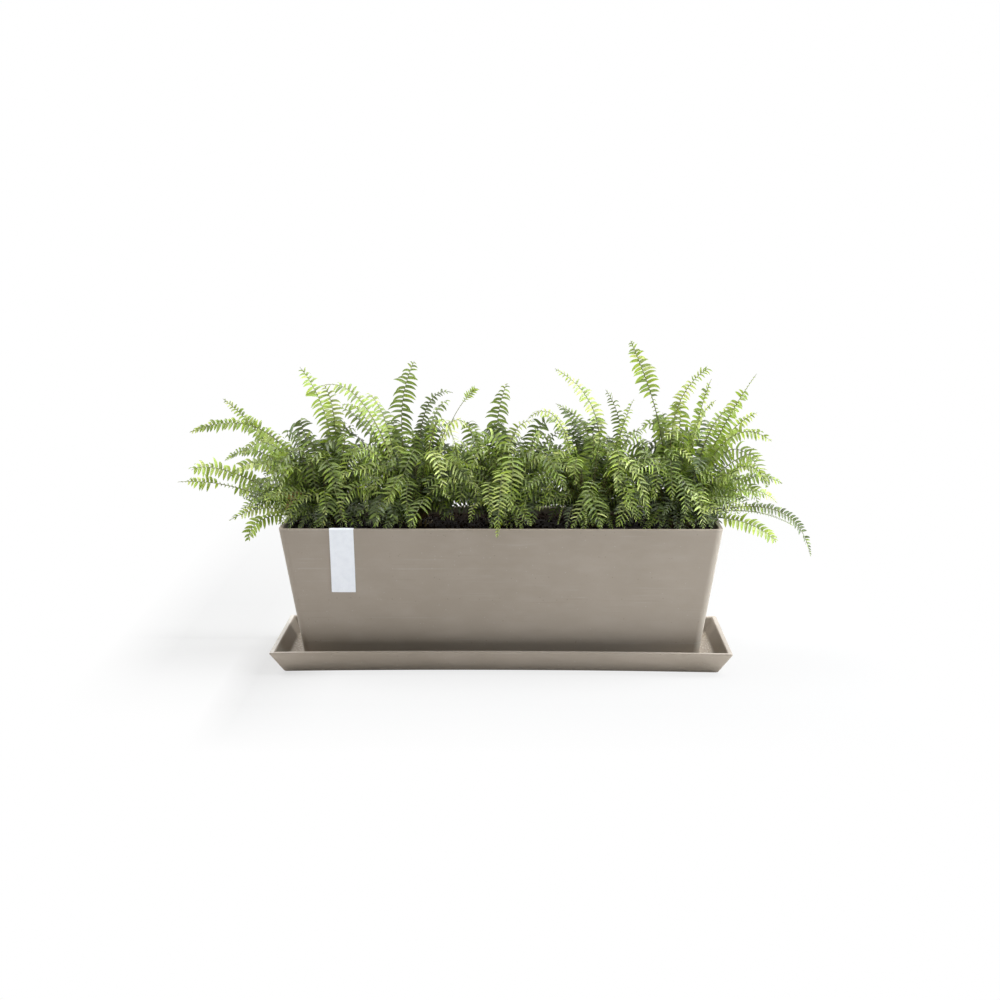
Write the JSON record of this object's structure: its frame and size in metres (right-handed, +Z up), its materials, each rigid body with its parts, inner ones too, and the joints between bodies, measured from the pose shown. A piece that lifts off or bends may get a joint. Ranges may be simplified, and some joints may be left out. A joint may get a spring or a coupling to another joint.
{
  "type": "planted trough planter with saucer",
  "caption": "Long tapered planting trough in stone-look plastic, standing in a matching saucer and planted with ferns.",
  "frame": {"origin": "centre of the saucer's underside, on the surface that the planter stands on", "axes": "+X along the trough, -Y out of the front wall that carries the tag, +Z up"},
  "size_m": [1.1754, 0.2914, 0.5906],
  "materials": {
    "saucer_plastic": "matte",
    "trough_plastic": "matte",
    "tag_card": "matte",
    "soil": "matte",
    "roots": "matte",
    "leaves": "satin"
  },
  "bodies": {
    "saucer": {"saucer": "saucer_plastic"},
    "trough": {"trough": "trough_plastic", "potting_soil": "soil", "root_ball_1": "roots", "root_ball_2": "roots", "root_ball_3": "roots", "root_ball_4": "roots", "root_ball_5": "roots", "fern_1": "leaves", "fern_2": "leaves", "fern_3": "leaves", "fern_4": "leaves", "fern_5": "leaves"},
    "tag": {"paper_tag": "tag_card"}
  },
  "joints": [
    {"name": "trough_lift", "type": "slide", "parent": "saucer", "child": "trough", "axis": [0, 0, 1], "range_m": [0, 0.06]},
    {"name": "tag_pull", "type": "slide", "parent": "trough", "child": "tag", "axis": [0, -0.1386, 0.9903], "range_m": [0, 0.06]}
  ]
}
